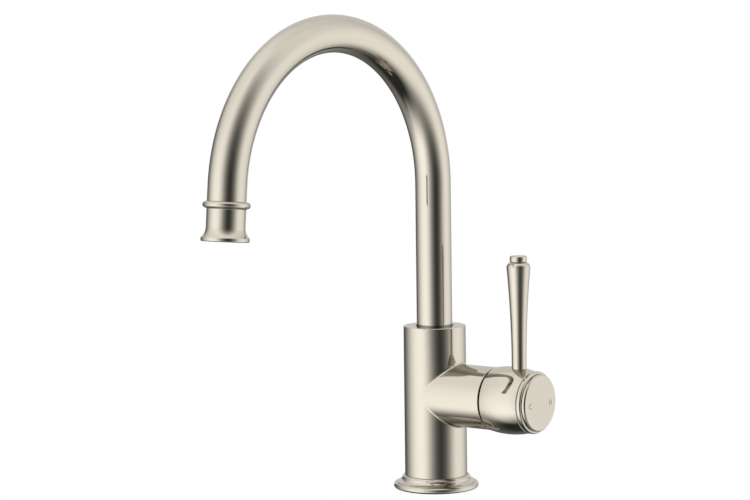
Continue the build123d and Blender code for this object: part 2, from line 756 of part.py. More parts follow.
# Threaded ring that clamps the cartridge, with six notches for a pin spanner
nut_end_x = shoulder_x + nut_length
with BuildPart() as cartridge_nut:
    with BuildSketch(across(shoulder_x)):
        Circle(nut_r)
        Circle(nut_bore_d / 2, mode=Mode.SUBTRACT)
    extrude(amount=nut_length)
    with BuildSketch(across(nut_end_x)):
        with PolarLocations(nut_bore_d / 2, 6):
            Rectangle(nut_notch, nut_notch)
    extrude(amount=-nut_notch, mode=Mode.SUBTRACT)

# Domed cover over the nut, part of a ball centred on the pivot, so the handle clears it
dome_r = pivot_depth + dome_reach
dome_hole_r = pivot_depth * tan(tilt) + stem_side / 2 + dome_hole_slack
dome_rim_r = nut_r - slip * 2
dome_rim_x = pivot_x + sqrt(dome_r**2 - dome_rim_r**2)
dome_tip_x = pivot_x + sqrt(dome_r**2 - dome_hole_r**2)
inner_rim_r = dome_rim_r - dome_wall
inner_rim_x = pivot_x + sqrt((dome_r - dome_wall) ** 2 - inner_rim_r**2)
inner_tip_x = pivot_x + sqrt((dome_r - dome_wall) ** 2 - dome_hole_r**2)
dome_mid = (dome_rim_r + dome_hole_r) / 2
with BuildPart() as cartridge_cover:
    with BuildSketch(barrel_side):
        with BuildLine():
            Line((nut_end_x, inner_rim_r), (nut_end_x, dome_rim_r))
            Line((nut_end_x, dome_rim_r), (dome_rim_x, dome_rim_r))
            ThreePointArc(
                (dome_rim_x, dome_rim_r),
                (pivot_x + sqrt(dome_r**2 - dome_mid**2), dome_mid),
                (dome_tip_x, dome_hole_r),
            )
            Line((dome_tip_x, dome_hole_r), (inner_tip_x, dome_hole_r))
            ThreePointArc(
                (inner_tip_x, dome_hole_r),
                (pivot_x + sqrt((dome_r - dome_wall) ** 2 - dome_mid**2), dome_mid),
                (inner_rim_x, inner_rim_r),
            )
            Line((inner_rim_x, inner_rim_r), (nut_end_x, inner_rim_r))
        make_face()
    revolve(axis=barrel_axis)

# Handle drum: crowned shell, thin skirt, solid web, square hub and a recess for the cap
skirt_r = drum_edge_d / 2 - skirt_wall
drum_mid = ((drum_start_x + drum_end_x) / 2, (drum_edge_d + drum_end_d) / 4 + drum_crown)
screw_seat_x = web_x + drum_web - screw_head_height - edge_round
with BuildPart() as handle_drum:
    with BuildSketch(barrel_side):
        with BuildLine():
            Line((drum_start_x, 0), (drum_start_x, drum_edge_d / 2))
            ThreePointArc((drum_start_x, drum_edge_d / 2), drum_mid, (drum_end_x, drum_end_d / 2))
            Line((drum_end_x, drum_end_d / 2), (drum_end_x, 0))
            Line((drum_end_x, 0), (drum_start_x, 0))
        make_face()
    revolve(axis=barrel_axis)
    chamfer(handle_drum.faces().sort_by(Axis.X)[-1].edges(), length=drum_chamfer)
    fillet(handle_drum.faces().sort_by(Axis.X)[0].edges(), radius=drum_edge_round)
    with BuildSketch(across(drum_start_x)):
        Circle(skirt_r)
    extrude(amount=skirt_depth, mode=Mode.SUBTRACT)
    with BuildSketch(across(web_x)):
        Circle(hub_d / 2)
    extrude(amount=-hub_length)
    with BuildSketch(across(web_x - hub_length)):
        Rectangle(stem_side + face_gap, stem_side + face_gap)
    extrude(amount=hub_length + socket_depth, mode=Mode.SUBTRACT)
    with BuildSketch(across(drum_end_x)):
        Circle(drum_recess_d / 2)
    extrude(amount=-(drum_end_x - recess_x), mode=Mode.SUBTRACT)
    with BuildSketch(across(recess_x)):
        Circle(screw_head_d / 2 + loose)
    extrude(amount=-(recess_x - screw_seat_x), mode=Mode.SUBTRACT)
    with BuildSketch(across(screw_seat_x)):
        Circle(screw_d / 2 + face_gap)
    extrude(amount=-drum_web, mode=Mode.SUBTRACT)
    with BuildSketch(Plane.XY.offset(barrel_height + lever_seat)):
        with Locations((lever_x, 0)):
            Circle(lever_foot_d / 2 + face_gap)
    extrude(amount=lever_foot_d, mode=Mode.SUBTRACT)
    with BuildSketch(Plane.XY.offset(barrel_height + lever_seat)):
        with Locations((lever_x, 0)):
            Circle(lever_stud_d / 2 + slip)
    extrude(amount=-lever_stud_bite, mode=Mode.SUBTRACT)

# Socket-head screw that holds the drum on the stem
with BuildPart() as handle_screw:
    with BuildSketch(across(screw_seat_x)):
        Circle(screw_head_d / 2)
    extrude(amount=screw_head_height)
    with BuildSketch(across(screw_seat_x + screw_head_height)):
        RegularPolygon(screw_hex / 2, 6)
    extrude(amount=-screw_socket, mode=Mode.SUBTRACT)
    with BuildSketch(across(screw_seat_x)):
        Circle(screw_d / 2)
    extrude(amount=-screw_length)

# End cap: a plug in the drum, a narrow neck and a rounded ring round the index disc
plug_r = drum_recess_d / 2 - face_gap
cap_foot_x = drum_end_x - cap_plug
ring_x = drum_end_x + cap_neck
cap_end_x = ring_x + cap_ring
ring_r = cap_ring_d / 2
cap_seal_r = drum_recess_d / 2 - slip - cap_seal_section / 2
index_recess_r = index_disc_d / 2 + index_disc_gap
index_floor_x = cap_end_x + index_disc_proud - index_disc_thickness
with BuildPart() as end_cap:
    with BuildSketch(barrel_side):
        with BuildLine():
            Polyline(
                (index_floor_x - cap_floor, 0),
                (index_floor_x - cap_floor, cap_plug_bore_d / 2),
                (cap_foot_x, cap_plug_bore_d / 2),
                (cap_foot_x, plug_r),
                (drum_end_x + slip, plug_r),
                (drum_end_x + slip, cap_neck_d / 2),
                (ring_x, cap_neck_d / 2),
                (ring_x, ring_r - edge_round),
            )
            TangentArc((ring_x, ring_r - edge_round), (ring_x + edge_round, ring_r), tangent=(0, 1))
            Line((ring_x + edge_round, ring_r), (cap_end_x - cap_ring_round, ring_r))
            TangentArc(
                (cap_end_x - cap_ring_round, ring_r),
                (cap_end_x, index_recess_r),
                tangent=(1, 0),
            )
            Polyline(
                (cap_end_x, index_recess_r),
                (index_floor_x, index_recess_r),
                (index_floor_x, 0),
                (index_floor_x - cap_floor, 0),
            )
        make_face()
    revolve(axis=barrel_axis)
    with BuildSketch(barrel_side):
        with Locations(((cap_foot_x + drum_end_x) / 2, cap_seal_r)):
            Rectangle(cap_seal_groove, cap_seal_section + slip * 2)
    revolve(axis=barrel_axis, mode=Mode.SUBTRACT)

# Ring that grips the cap's plug in the drum
with BuildPart() as end_cap_seal:
    with BuildSketch(barrel_side):
        with Locations(((cap_foot_x + drum_end_x) / 2, cap_seal_r)):
            Circle(cap_seal_section / 2)
    revolve(axis=barrel_axis)

# Bevelled index disc set in the ring, with a flat face
with BuildPart() as index_disc:
    with BuildSketch(across(index_floor_x)):
        Circle(index_disc_d / 2)
    extrude(amount=index_disc_thickness)
    chamfer(index_disc.edges().sort_by(Axis.X)[-1], length=index_disc_bevel)

# Lever: a long concave taper that widens upwards to a round shoulder
lever_stud_foot = lever_seat - lever_stud_bite
lever_stud_top = lever_seat + lever_stud_reach
with BuildPart() as lever_rod:
    with BuildSketch(lever_side):
        with BuildLine():
            Line((0, lever_seat), (lever_foot_d / 2, lever_seat))
            Line((lever_foot_d / 2, lever_seat), (lever_foot_d / 2, lever_taper_start))
            taper = TangentArc(
                (lever_foot_d / 2, lever_taper_start),
                (lever_wide_d / 2, lever_taper_end),
                tangent=(0, 1),
            )
            TangentArc(taper @ 1, (lever_neck_d / 2, lever_shoulder_top), tangent=taper % 1)
            Line((lever_neck_d / 2, lever_shoulder_top), (0, lever_shoulder_top))
            Line((0, lever_shoulder_top), (0, lever_seat))
        make_face()
    revolve(axis=lever_axis)
    with BuildSketch(Plane.XY.offset(lever_z + lever_seat)):
        with Locations((lever_x, 0)):
            Circle(lever_stud_d / 2 + slip)
    extrude(amount=lever_stud_reach + loose, mode=Mode.SUBTRACT)
    with BuildSketch(Plane.XY.offset(lever_z + lever_shoulder_top)):
        with Locations((lever_x, 0)):
            Circle(tip_peg_d / 2 + slip)
    extrude(amount=-tip_peg_length - loose, mode=Mode.SUBTRACT)

# Button on the lever's end, screwed in by a peg
tip_foot = lever_shoulder_top + tip_gap
with BuildPart() as lever_tip:
    with BuildSketch(Plane.XY.offset(lever_z + tip_foot)):
        with Locations((lever_x, 0)):
            Circle(tip_d / 2)
    extrude(amount=tip_height)
    fillet(lever_tip.edges().sort_by(Axis.Z)[-1], radius=tip_round)
    fillet(lever_tip.edges().sort_by(Axis.Z)[0], radius=edge_round)
    with BuildSketch(Plane.XY.offset(lever_z + tip_foot)):
        with Locations((lever_x, 0)):
            Circle(tip_peg_d / 2)
    extrude(amount=-tip_peg_length)

# Stud that screws the lever to the drum
with BuildPart() as lever_stud:
    with BuildSketch(Plane.XY.offset(lever_z + lever_stud_foot + loose)):
        with Locations((lever_x, 0)):
            Circle(lever_stud_d / 2)
    extrude(amount=lever_stud_top - lever_stud_foot - loose)

pieces = {
    "base_flange": base_flange,
    "base_gasket": base_gasket,
    "inlet_block": inlet_block,
    "mixer_body": mixer_body,
    "spout_glide_ring": spout_glide_ring,
    "spout_retaining_screw": spout_retaining_screw,
    "spout_tube": spout_tube,
    "spout_spigot": spout_spigot,
    "spigot_seals": spigot_seals,
    "outlet_nozzle": outlet_nozzle,
    "aerator_housing": aerator_housing,
    "aerator_washer": aerator_washer,
    "aerator_screen": aerator_screen,
    "aerator_insert": aerator_insert,
    "cartridge_base": cartridge_base,
    "port_seals": port_seals,
    "cartridge_housing": cartridge_housing,
    "fixed_disc": fixed_disc,
    "moving_disc": moving_disc,
    "disc_carrier": disc_carrier,
    "stem_guide": stem_guide,
    "temperature_stop_ring": temperature_stop_ring,
    "pivot_pin": pivot_pin,
    "stem": stem,
    "cartridge_nut": cartridge_nut,
    "cartridge_cover": cartridge_cover,
    "handle_drum": handle_drum,
    "handle_screw": handle_screw,
    "end_cap": end_cap,
    "end_cap_seal": end_cap_seal,
    "index_disc": index_disc,
    "lever_rod": lever_rod,
    "lever_tip": lever_tip,
    "lever_stud": lever_stud,
}
os.makedirs("parts", exist_ok=True)
for name, piece in pieces.items():
    piece.part.label = name
    export_step(piece.part, f"parts/{name}.step")
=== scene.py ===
"""Looks of a gooseneck basin mixer: its finishes, its engraved index disc and the studio.

Lengths are in metres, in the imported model's own frame: +Z up, the origin in the middle
of the base, the handle barrel towards +X and the spout towards -Y.
"""

import json
import logging
import math
from collections.abc import Iterable, Sequence
from dataclasses import dataclass
from enum import Enum
from typing import ClassVar

import bmesh
import bpy
from mathutils import Matrix, Vector


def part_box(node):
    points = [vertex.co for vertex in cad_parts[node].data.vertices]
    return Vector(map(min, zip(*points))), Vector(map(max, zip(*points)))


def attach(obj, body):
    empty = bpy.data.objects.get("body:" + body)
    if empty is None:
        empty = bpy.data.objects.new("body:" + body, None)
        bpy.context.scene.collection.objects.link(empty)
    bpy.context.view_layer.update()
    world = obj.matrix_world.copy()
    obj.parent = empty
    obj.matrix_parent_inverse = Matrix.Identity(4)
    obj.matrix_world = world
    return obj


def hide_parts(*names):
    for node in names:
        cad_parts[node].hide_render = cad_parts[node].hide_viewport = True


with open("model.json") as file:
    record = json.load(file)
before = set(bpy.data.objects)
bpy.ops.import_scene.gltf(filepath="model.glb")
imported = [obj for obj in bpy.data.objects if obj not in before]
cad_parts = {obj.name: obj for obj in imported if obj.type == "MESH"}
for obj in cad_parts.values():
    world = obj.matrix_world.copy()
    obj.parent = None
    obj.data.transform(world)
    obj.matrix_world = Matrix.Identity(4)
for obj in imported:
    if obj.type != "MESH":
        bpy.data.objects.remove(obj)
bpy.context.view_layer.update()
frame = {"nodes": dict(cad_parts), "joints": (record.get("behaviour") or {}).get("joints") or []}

MM = 0.001
BARREL_HEIGHT = next(joint["pos_m"][2] for joint in frame["joints"] if joint["name"] == "temperature")
log = logging.getLogger("basin_mixer")

Colour = tuple[float, float, float]
Point = tuple[float, float, float]
Span = tuple[float, float]

WHITE_LIGHT = (1.0, 1.0, 1.0, 1.0)


class Signal:
    """An output socket of a shader, which can stand in ordinary arithmetic."""

    def __init__(self, shader: "Shader", socket: bpy.types.NodeSocket | None) -> None:
        """Keeps the shader that the socket belongs to, and the socket."""
        self.shader = shader
        self.socket = socket

    def math(self, operation: str, *values: "Signal | float") -> "Signal":
        """Adds one Math node.

        Args:
            operation: The Math node's operation.
            values: What goes into its sockets, in order.

        Returns:
            The node's result.
        """
        sockets = dict(enumerate(values))
        return self.shader.add("ShaderNodeMath", "Value", {"operation": operation}, sockets)

    def __add__(self, other: "Signal | float") -> "Signal":
        """self + other."""
        return self.math("ADD", self, other)

    def __radd__(self, other: float) -> "Signal":
        """other + self."""
        return self.math("ADD", other, self)

    def __sub__(self, other: "Signal | float") -> "Signal":
        """self - other."""
        return self.math("SUBTRACT", self, other)

    def __rsub__(self, other: float) -> "Signal":
        """other - self."""
        return self.math("SUBTRACT", other, self)

    def __mul__(self, other: "Signal | float") -> "Signal":
        """self * other."""
        return self.math("MULTIPLY", self, other)

    def __rmul__(self, other: float) -> "Signal":
        """other * self."""
        return self.math("MULTIPLY", other, self)

    def __truediv__(self, other: "Signal | float") -> "Signal":
        """self / other."""
        return self.math("DIVIDE", self, other)

    def __rtruediv__(self, other: float) -> "Signal":
        """other / self."""
        return self.math("DIVIDE", other, self)

    def __pow__(self, other: "Signal | float") -> "Signal":
        """self to the power of other."""
        return self.math("POWER", self, other)

    def __neg__(self) -> "Signal":
        """self with the other sign."""
        return self * -1.0

    def __abs__(self) -> "Signal":
        """self without its sign."""
        return self.math("ABSOLUTE", self)

    def __gt__(self, other: "Signal | float") -> "Signal":
        """1 where self is greater than other, or else 0."""
        return self.math("GREATER_THAN", self, other)

    def at_least(self, other: "Signal | float") -> "Signal":
        """The greater of self and other."""
        return self.math("MAXIMUM", self, other)

    def exp(self) -> "Signal":
        """e to the power of self."""
        return self.math("EXPONENT", self)

    def degrees(self, operation: str) -> "Signal":
        """The angle in degrees whose sine or cosine is self, as ARCSINE or ARCCOSINE says."""
        return self.math(operation, self) * math.degrees(1.0)

    def ramp(self, low: "Signal | float", high: "Signal | float") -> "Signal":
        """A smooth step from 0 at low to 1 at high."""
        settings = {"interpolation_type": "SMOOTHSTEP", "clamp": True}
        sockets = {"Value": self, "From Min": low, "From Max": high}
        return self.shader.add("ShaderNodeMapRange", "Result", settings, sockets)

    def between(self, low: "Signal | float", high: "Signal | float") -> "Signal":
        """A value that goes from low to high as self goes from 0 to 1."""
        return self * (high - low) + low

    def blend(self, low: Colour, high: Colour) -> "Signal":
        """Mixes two colours, with self as the share of the second."""
        sockets = {0: self, 6: (*low, 1.0), 7: (*high, 1.0)}
        return self.shader.add("ShaderNodeMix", 2, {"data_type": "RGBA"}, sockets)

    def beside(self, output: str) -> "Signal":
        """Another output of the same node."""
        return Signal(self.shader, self.socket.node.outputs[output])


class Shader:
    """A node tree that is being wired. One method adds every node."""

    def __init__(self, tree: bpy.types.NodeTree) -> None:
        """Starts from an empty tree."""
        self.tree = tree
        tree.nodes.clear()

    def add(
        self,
        kind: str,
        output: str | int = 0,
        settings: dict[str, object] | None = None,
        sockets: dict[str | int, object] | None = None,
    ) -> Signal:
        """Adds a node, sets it, and then fills its sockets.

        Args:
            kind: The node's type.
            output: The output that is wanted.
            settings: The node's own properties.
            sockets: Values or signals for its input sockets.

        Returns:
            The wanted output.
        """
        node = self.tree.nodes.new(kind)
        for name, value in (settings or {}).items():
            setattr(node, name, value)
        for name, value in (sockets or {}).items():
            if isinstance(value, Signal):
                self.tree.links.new(value.socket, node.inputs[name])
            else:
                node.inputs[name].default_value = value
        return Signal(self, node.outputs[output] if len(node.outputs) else None)

    def place(self) -> Signal:
        """The point on the piece, in metres, which moves with the piece."""
        return self.add("ShaderNodeTexCoord", "Object")

    def direction(self) -> Signal:
        """The direction that a ray takes into the world, one long."""
        return self.add("ShaderNodeTexCoord", "Generated")

    def split(self, vector: Signal) -> Signal:
        """The X part of a vector. Its Y and Z parts are beside it."""
        return self.add("ShaderNodeSeparateXYZ", "X", sockets={0: vector})

    def vector_math(self, operation: str, output: str, *values: Signal | Sequence[float]) -> Signal:
        """Adds one Vector Math node.

        Args:
            operation: The node's operation.
            output: Its output that is wanted, Vector or Value.
            values: What goes into its sockets, in order.

        Returns:
            The wanted output.
        """
        sockets = dict(enumerate(values))
        return self.add("ShaderNodeVectorMath", output, {"operation": operation}, sockets)

    def noise(self, where: Signal, grain: float, detail: float, stretch: Point = (1, 1, 1)) -> Signal:
        """Noise of a real size.

        Args:
            where: The point to read it at.
            grain: How large its patches are, in metres.
            detail: How many finer layers lie on it.
            stretch: How many times closer the patches are along each axis.

        Returns:
            The noise, about 0.5 on average.
        """
        scale = [share / grain for share in stretch]
        spread = self.vector_math("MULTIPLY", "Vector", where, scale)
        sockets = {"Vector": spread, "Scale": 1.0, "Detail": detail}
        return self.add("ShaderNodeTexNoise", "Fac", {"normalize": True}, sockets)

    def bump(self, height: Signal, depth: float) -> Signal:
        """A bumped normal.

        Args:
            height: The relief, from 0 to 1.
            depth: How deep a relief of 1 is, in metres.

        Returns:
            The normal.
        """
        sockets = {"Height": height, "Distance": depth, "Strength": 1.0}
        return self.add("ShaderNodeBump", "Normal", sockets=sockets)

    def surface(self, closure: Signal) -> None:
        """Makes a closure the tree's surface."""
        kind = "ShaderNodeOutputWorld" if self.is_world() else "ShaderNodeOutputMaterial"
        self.add(kind, sockets={"Surface": closure})

    def is_world(self) -> bool:
        """Whether this is a world's tree."""
        return any(world.node_tree == self.tree for world in bpy.data.worlds)


class Lay(Enum):
    """How a surface was worked last, which is how its finest lines run."""

    BUFFED = "buffed on a soft wheel"
    TURNED_UPRIGHT = "turned about the column's axis"
    TURNED_LEVEL = "turned about the barrel's axis"
    FACED = "faced across the barrel's axis"


@dataclass(frozen=True)
class Finish:
    """What every finish has: its name, its colour and how rough it is."""

    name: str
    colour: Colour
    roughness: float

    def material(self) -> bpy.types.Material:
        """Gives the material of this finish, made when it is first asked for."""
        found = bpy.data.materials.get(self.name)
        if found is not None:
            return found
        made = bpy.data.materials.new(self.name)
        made.use_nodes = True
        shader = Shader(made.node_tree)
        sockets = self.sockets(shader)
        shader.surface(shader.add("ShaderNodeBsdfPrincipled", "BSDF", sockets=sockets))
        return made

    def sockets(self, shader: Shader) -> dict[str | int, object]:
        """Values and signals for the surface shader's sockets.

        Args:
            shader: The tree that the signals are made in.

        Returns:
            What goes into each socket.
        """
        raise NotImplementedError

    def tinted(self, amount: Signal, change: float) -> Signal:
        """The colour, made darker by up to a share where a signal is 1."""
        darker = tuple(part * (1.0 - change) for part in self.colour)
        return amount.blend(self.colour, darker)


@dataclass(frozen=True)
class Nickel(Finish):
    """Warm nickel plate over brass: faint haze, a few specks, fine lines and slow waves.

    A change is how much the roughness differs between a pattern's lowest and highest point.
    """

    lay: Lay = Lay.BUFFED
    line_pitch: float = 0.16 * MM
    line_depth: float = 0.0003 * MM
    line_change: float = 0.01
    haze_grain: float = 5.0 * MM
    haze_change: float = 0.035
    speck_grain: float = 0.5 * MM
    speck_edge: Span = (0.68, 0.78)
    speck_change: float = 0.03
    wave_grain: float = 22.0 * MM
    wave_depth: float = 0.010 * MM
    darkening: float = 0.035
    haze_share: float = 0.6  # the haze's share of the darkening; the rest is the specks'

    def lines(self, shader: Shader, place: Signal) -> Signal:
        """The finest lines that working left, for this finish's lay.

        Args:
            shader: The tree that the signals are made in.
            place: The point on the piece.

        Returns:
            A relief from 0 to 1.
        """
        if self.lay is Lay.BUFFED:
            return shader.noise(place, self.line_pitch * 2, 1.0, (1, 1, 0.25))
        parts = shader.split(place)
        along = parts
        if self.lay is Lay.TURNED_UPRIGHT:
            along = parts.beside("Z")
        if self.lay is Lay.FACED:
            rise = parts.beside("Z") - BARREL_HEIGHT
            along = (parts.beside("Y") ** 2 + rise * rise) ** 0.5
        sockets = {"W": along / self.line_pitch, "Scale": 1.0, "Detail": 2.0}
        return shader.add("ShaderNodeTexNoise", "Fac", {"noise_dimensions": "1D"}, sockets)

    def sockets(self, shader: Shader) -> dict[str | int, object]:
        """Values and signals for the surface shader's sockets."""
        place = shader.place()
        haze = shader.noise(place, self.haze_grain, 4.0)
        specks = shader.noise(place, self.speck_grain, 1.0).ramp(*self.speck_edge)
        lines = self.lines(shader, place)
        waves = shader.noise(place, self.wave_grain, 1.0)
        roughness = self.roughness + (haze - 0.5) * self.haze_change
        roughness = roughness + specks * self.speck_change + (lines - 0.5) * self.line_change
        marks = haze * self.haze_share + specks * (1.0 - self.haze_share)
        relief = waves * self.wave_depth + lines * self.line_depth
        return {
            "Base Color": self.tinted(marks, self.darkening),
            "Metallic": 1.0,
            "Roughness": roughness,
            "Normal": shader.bump(relief / self.wave_depth, self.wave_depth),
        }


@dataclass(frozen=True)
class BareMetal(Finish):
    """Turned or drawn metal without plating, with tool lines and a dull bloom."""

    line_grain: float = 0.25 * MM
    line_depth: float = 0.004 * MM
    line_change: float = 0.12
    stretch: Point = (1, 1, 4)
    bloom_grain: float = 6.25 * MM
    bloom_edge: Span = (0.4, 0.75)
    bloom_change: float = 0.08
    darkening: float = 0.18

    def sockets(self, shader: Shader) -> dict[str | int, object]:
        """Values and signals for the surface shader's sockets."""
        place = shader.place()
        lines = shader.noise(place, self.line_grain, 3.0, self.stretch)
        bloom = shader.noise(place, self.bloom_grain, 4.0).ramp(*self.bloom_edge)
        return {
            "Base Color": self.tinted(bloom, self.darkening),
            "Metallic": 1.0,
            "Roughness": self.roughness + lines * self.line_change + bloom * self.bloom_change,
            "Normal": shader.bump(lines, self.line_depth),
        }


@dataclass(frozen=True)
class Moulded(Finish):
    """Moulded plastic or rubber: a fine spark-eroded grain and a few duller patches."""

    grain: float = 0.18 * MM
    depth: float = 0.006 * MM
    grain_change: float = 0.1
    patch_grain: float = 7.2 * MM
    patch_change: float = 0.12
    darkening: float = 0.12
    ior: float = 1.5

    def sockets(self, shader: Shader) -> dict[str | int, object]:
        """Values and signals for the surface shader's sockets."""
        place = shader.place()
        grain = shader.noise(place, self.grain, 2.0)
        patches = shader.noise(place, self.patch_grain, 3.0)
        roughness = self.roughness + (patches - 0.5) * self.patch_change
        return {
            "Base Color": self.tinted(patches, self.darkening),
            "Roughness": roughness + (grain - 0.5) * self.grain_change,
            "IOR": self.ior,
            "Normal": shader.bump(grain, self.depth),
        }


@dataclass(frozen=True)
class LappedCeramic(Finish):
    """Alumina lapped flat: a close grain with faint lapping arcs."""

    grain: float = 0.08 * MM
    arc_grain: float = 0.64 * MM
    arc_depth: float = 0.001 * MM
    arc_change: float = 0.08
    darkening: float = 0.05
    ior: float = 1.76

    def sockets(self, shader: Shader) -> dict[str | int, object]:
        """Values and signals for the surface shader's sockets."""
        place = shader.place()
        grain = shader.noise(place, self.grain, 2.0)
        arcs = shader.noise(place, self.arc_grain, 2.0, (1, 3, 1))
        return {
            "Base Color": self.tinted(grain, self.darkening),
            "Roughness": self.roughness + arcs * self.arc_change,
            "IOR": self.ior,
            "Normal": shader.bump(arcs, self.arc_depth),
        }


PLATE: Colour = (0.87, 0.81, 0.69)
BUFFED = Nickel("nickel_buffed", PLATE, 0.055)
TURNED = Nickel("nickel_turned_upright", PLATE, 0.06, lay=Lay.TURNED_UPRIGHT)
DRUM = Nickel("nickel_turned_level", PLATE, 0.055, lay=Lay.TURNED_LEVEL)
LEVER = Nickel("nickel_lever", PLATE, 0.05, lay=Lay.TURNED_UPRIGHT)
# Painted shade: the cartridge cover inside the drum gets a near-black colour so that the gap between drum
# and barrel reads as a dark line; the dark there is shade in the gap, not a blackened plating.
PAINTED_GAP_SHADE = Nickel("nickel_painted_gap_shade", (0.16, 0.145, 0.12), 0.3, lay=Lay.TURNED_LEVEL)
FACE = Nickel("nickel_faced", PLATE, 0.2, lay=Lay.FACED, line_depth=0.002 * MM)
ETCHED = Nickel("nickel_etched", (0.62, 0.57, 0.47), 0.35, line_depth=0.004 * MM)
BRASS = BareMetal("brass_bare", (0.72, 0.54, 0.27), 0.28)
STEEL = BareMetal("steel_drawn", (0.60, 0.59, 0.57), 0.24)
RUBBER = Moulded("rubber_black", (0.028, 0.028, 0.030), 0.55, depth=0.010 * MM)
GREY = Moulded("plastic_grey", (0.16, 0.165, 0.17), 0.42)
WHITE = Moulded("plastic_white", (0.78, 0.78, 0.75), 0.40)
BLUE = Moulded("plastic_blue", (0.03, 0.10, 0.32), 0.40)
CERAMIC = LappedCeramic("ceramic_lapped", (0.86, 0.84, 0.79), 0.18)


def placed(name: str, shape: bmesh.types.BMesh) -> bpy.types.Object:
    """Puts a finished shape into the scene as an object, and frees it."""
    mesh = bpy.data.meshes.new(name)
    shape.to_mesh(mesh)
    shape.free()
    piece = bpy.data.objects.new(name, mesh)
    bpy.context.scene.collection.objects.link(piece)
    return piece


def turned(name: str, profile: Sequence[Span], height: float, steps: int) -> bpy.types.Object:
    """A closed piece turned about the barrel's axis.

    Args:
        name: The piece's name.
        profile: Places along the barrel, each with a distance from its axis. It begins and
            ends on the axis.
        height: The barrel axis above the deck.
        steps: How many steps go round.

    Returns:
        The piece.
    """
    shape = bmesh.new()
    turns = [math.tau * step / steps for step in range(steps)]
    rings = []
    for x, radius in profile:
        if radius == 0.0:
            rings.append([shape.verts.new((x, 0.0, height))])
            continue
        ring = [(x, radius * math.cos(turn), height + radius * math.sin(turn)) for turn in turns]
        rings.append([shape.verts.new(point) for point in ring])
    for near, far in zip(rings, rings[1:]):
        for step in range(steps):
            after = (step + 1) % steps
            corners = [near[step % len(near)], near[after % len(near)]]
            corners += [far[after % len(far)], far[step % len(far)]]
            shape.faces.new(list(dict.fromkeys(corners)))
    bmesh.ops.recalc_face_normals(shape, faces=shape.faces)
    return placed(name, shape)


def smooth_by_angle(mesh: bpy.types.Mesh, angle: float) -> None:
    """Shades a mesh smooth, and leaves edges sharper than an angle as they are."""
    mesh.polygons.foreach_set("use_smooth", [True] * len(mesh.polygons))
    shape = bmesh.new()
    shape.from_mesh(mesh)
    for edge in shape.edges:
        edge.smooth = len(edge.link_faces) == 2 and edge.calc_face_angle(0.0) < angle
    shape.to_mesh(mesh)
    shape.free()


class Assembly:
    """Pieces of the CAD model that belong together, each with its finish."""

    finishes: ClassVar[dict[str, Finish]] = {}

    def dress(self) -> None:
        """Gives the pieces their finishes."""
        for node, finish in self.finishes.items():
            frame["nodes"][node].material_slots[0].material = finish.material()
            log.info("%s: %s", node, finish.name)


class BasePlate(Assembly):
    """The flange on the deck and the gasket under it."""

    finishes = {"base_flange": TURNED, "base_gasket": RUBBER}


class Column(Assembly):
    """The column with its side barrel, its inlets, and what holds the spout in it."""

    finishes = {
        "mixer_body": TURNED,
        "inlet_block": BRASS,
        "spout_glide_ring": WHITE,
        "spout_retaining_screw": STEEL,
    }


class Spout(Assembly):
    """The bent tube, its spigot and seals, and the nozzle with the aerator in it."""

    finishes = {
        "spout_tube": BUFFED,
        "outlet_nozzle": BUFFED,
        "spout_spigot": BRASS,
        "spigot_seals": RUBBER,
        "aerator_housing": GREY,
        "aerator_insert": WHITE,
        "aerator_screen": STEEL,
        "aerator_washer": RUBBER,
    }


class Cartridge(Assembly):
    """The ceramic valve in the barrel, with the nut and cover that hold it."""

    finishes = {
        "cartridge_base": GREY,
        "cartridge_housing": GREY,
        "port_seals": RUBBER,
        "fixed_disc": CERAMIC,
        "moving_disc": CERAMIC,
        "disc_carrier": WHITE,
        "stem_guide": WHITE,
        "temperature_stop_ring": BLUE,
        "pivot_pin": STEEL,
        "stem": STEEL,
        "cartridge_nut": BRASS,
        # the cover's dark colour is painted shade for the gap round the drum
        "cartridge_cover": PAINTED_GAP_SHADE,
    }


